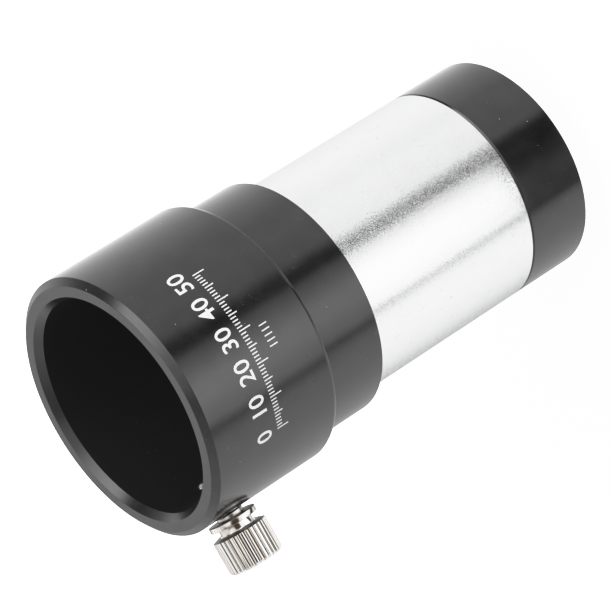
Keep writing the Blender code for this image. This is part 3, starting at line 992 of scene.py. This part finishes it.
def add_table_shade():
    """What polished surfaces see of the table in front of the object. Only reflections show it."""
    bm = bmesh.new()
    first, last = TABLE_ANGLES
    arcs = []
    for radius in TABLE_RADII:
        angles = [math.radians(first + (last - first) * i / TABLE_STEPS) for i in range(TABLE_STEPS + 1)]
        reach = (radius + TABLE_REACH) * MM
        arcs.append([bm.verts.new((reach * math.cos(a), reach * math.sin(a), 0.0)) for a in angles])
    for i in range(TABLE_STEPS):
        bm.faces.new((arcs[0][i], arcs[1][i], arcs[1][i + 1], arcs[0][i + 1]))
    material = bpy.data.materials.new("table_shade")
    material.use_nodes = True
    tree = material.node_tree
    tree.nodes.clear()
    where = place(tree)
    axes = node(tree, "ShaderNodeSeparateXYZ", {"Vector": where}).outputs
    angle = maths(tree, "MULTIPLY", maths(tree, "ARCTAN2", axes["Y"], axes["X"]), math.degrees(1))
    distance = node(tree, "ShaderNodeVectorMath", {0: where}, operation="LENGTH").outputs["Value"]
    distance = maths(tree, "SUBTRACT", distance, TABLE_REACH)
    lit = maths(tree, "MULTIPLY", ramp(tree, angle, TENT_SIDES), ramp(tree, distance, TABLE_FALL))
    level = blend(tree, step_between(tree, distance, TABLE_SHADE_END), ramp(tree, angle, TABLE_SHADE), lit)
    light = node(tree, "ShaderNodeEmission", {"Color": grey(1.0), "Strength": level})
    begun = step_between(tree, angle, TABLE_FADES[0])
    ending = step_between(tree, angle, TABLE_FADES[1])
    there = maths(tree, "MULTIPLY", begun, maths(tree, "SUBTRACT", 1.0, ending))
    clear = node(tree, "ShaderNodeBsdfTransparent")
    faded = node(tree, "ShaderNodeMixShader", {0: there, 1: clear.outputs[0], 2: light.outputs[0]})
    node(tree, "ShaderNodeOutputMaterial", {"Surface": faded.outputs[0]})
    shade = finish_mesh("table_shade", bm, material)
    azimuth = math.radians(VIEW_AZIMUTH)
    shade.location = Vector((TABLE_PIVOT * math.cos(azimuth), TABLE_PIVOT * math.sin(azimuth),
                             -FLOOR_DROP)) * MM
    shade.rotation_euler = (0.0, 0.0, azimuth)
    shade.visible_camera = False
    shade.visible_diffuse = False
    shade.visible_transmission = False
    shade.visible_shadow = False


def direction_at(azimuth, elevation):
    azimuth, elevation = math.radians(azimuth), math.radians(elevation)
    return Vector((math.cos(azimuth) * math.cos(elevation), math.sin(azimuth) * math.cos(elevation),
                   math.sin(elevation)))


def lean(tree, degrees, height):
    """Turn a direction round the object back by the lean of the roof's panels at its height."""
    turned = maths(tree, "MULTIPLY", maths(tree, "SUBTRACT", height, ROOF_LEAN_FROM), ROOF_LEAN)
    size = maths(tree, "MAXIMUM", maths(tree, "SUBTRACT", maths(tree, "ABSOLUTE", degrees), turned), 0.0)
    return maths(tree, "MULTIPLY", maths(tree, "SIGN", degrees), size)


def add_light_tent():
    """Light by direction, in bands from the underside to the zenith. The camera itself sees white."""
    world = bpy.data.worlds.new("light_tent")
    bpy.context.scene.world = world
    world.use_nodes = True
    tree = world.node_tree
    tree.nodes.clear()
    direction = node(tree, "ShaderNodeTexCoord").outputs["Generated"]
    axes = node(tree, "ShaderNodeSeparateXYZ", {"Vector": direction}).outputs
    turns = maths(tree, "MULTIPLY", maths(tree, "ARCTAN2", axes["Y"], axes["X"]), 1 / (2 * math.pi))
    turns = maths(tree, "FRACT", maths(tree, "ADD", turns, 1.5 - VIEW_AZIMUTH / 360))
    from_camera = remap(tree, turns, (0.0, 1.0), (-180.0, 180.0))
    level = blend(tree, step_between(tree, axes["Z"], UNDERSIDE_TO_SIDES),
                  ramp(tree, from_camera, TENT_UNDERSIDE),
                  ramp(tree, from_camera, [(-180, TENT_SIDES[-1][1])] + TENT_SIDES))
    level = blend(tree, step_between(tree, axes["Z"], SIDES_TO_HORIZON), level,
                  ramp(tree, from_camera, TENT_HORIZON))
    on_roof = step_between(tree, axes["Z"], HORIZON_TO_ROOF)
    round_roof = lean(tree, from_camera, axes["Z"])
    towards_spot = node(tree, "ShaderNodeVectorMath",
                        {0: direction, 1: direction_at(VIEW_AZIMUTH + SPOT_AZIMUTH, SPOT_ELEVATION)},
                        operation="DOT_PRODUCT").outputs["Value"]
    spot = step_between(tree, towards_spot, SPOT_EDGE)
    roof = blend(tree, spot, ramp(tree, round_roof, TENT_ROOF), SPOT_LEVEL)
    level = blend(tree, on_roof, level, roof)
    level = blend(tree, step_between(tree, axes["Z"], ROOF_TO_ZENITH), level, TENT_ZENITH)
    seen = node(tree, "ShaderNodeLightPath").outputs["Is Camera Ray"]
    warm = maths(tree, "MULTIPLY", maths(tree, "MULTIPLY", on_roof, spot),
                 maths(tree, "SUBTRACT", 1.0, seen))
    tint = mix_colour(tree, warm, grey(1.0), SPOT_TINT)
    light = node(tree, "ShaderNodeBackground",
                 {"Color": tint, "Strength": blend(tree, seen, level, RESPONSE_WHITE)})
    node(tree, "ShaderNodeOutputWorld", {"Surface": light.outputs[0]})


def add_camera():
    data = bpy.data.cameras.new("camera")
    data.lens = VIEW_LENS
    data.sensor_width = SENSOR_WIDTH
    data.clip_start, data.clip_end = CLIP_RANGE
    camera = bpy.data.objects.new("camera", data)
    bpy.context.scene.collection.objects.link(camera)
    away = direction_at(VIEW_AZIMUTH, VIEW_ELEVATION)
    camera.location = (Vector(VIEW_TARGET) + away * VIEW_DISTANCE) * MM
    upright = away.to_track_quat("Z", "Y")
    camera.rotation_mode = "QUATERNION"
    camera.rotation_quaternion = upright @ Quaternion((0.0, 0.0, 1.0), math.radians(VIEW_ROLL))
    bpy.context.scene.camera = camera


def set_response():
    """Let highlights roll off as they do in a photograph, instead of clipping."""
    view = bpy.context.scene.view_settings
    view.view_transform = "Standard"
    view.use_curve_mapping = True
    mapping = view.curve_mapping
    mapping.white_level = (RESPONSE_WHITE, RESPONSE_WHITE, RESPONSE_WHITE)
    points = mapping.curves[3].points
    for i, (light, shown) in enumerate(RESPONSE):
        x = light / RESPONSE_WHITE
        if i == 0:
            points[0].location = (x, shown)
        elif i == len(RESPONSE) - 1:
            points[len(points) - 1].location = (x, shown)
        else:
            points.new(x, shown)
    mapping.update()


def build():
    black = anodised_black("black_anodised_satin", 0.16, 0.003)
    cell_black = anodised_black("black_anodised_smooth", 0.14, 0.002)
    turned = anodised_black("black_anodised_turned", 0.22, 0.004)
    bore_black = matt_black("bore_matt_black")
    deep_black = matt_black("baffle_matt_black", 0.005)
    silver = satin_silver("satin_silver_tube")
    plating = nickel("nickel_bright")
    steel = screw_steel("stud_steel")

    make_holder(black, bore_black, turned, worn_edge("black_worn_edge"))
    make_adapter(black, bore_black)
    make_barrel(silver, bore_black)
    make_stop(deep_black)
    make_cell(cell_black, bore_black)
    make_lock_ring(deep_black)
    make_lenses(deep_black)
    make_spacer(deep_black)
    make_stud(steel)
    make_grip(plating, plate_painted_shade("nickel_painted_shade"))
    make_print(printed_white("white_ink"))
    add_floor()
    add_table_shade()
    add_light_tent()
    add_camera()
    set_response()


build()
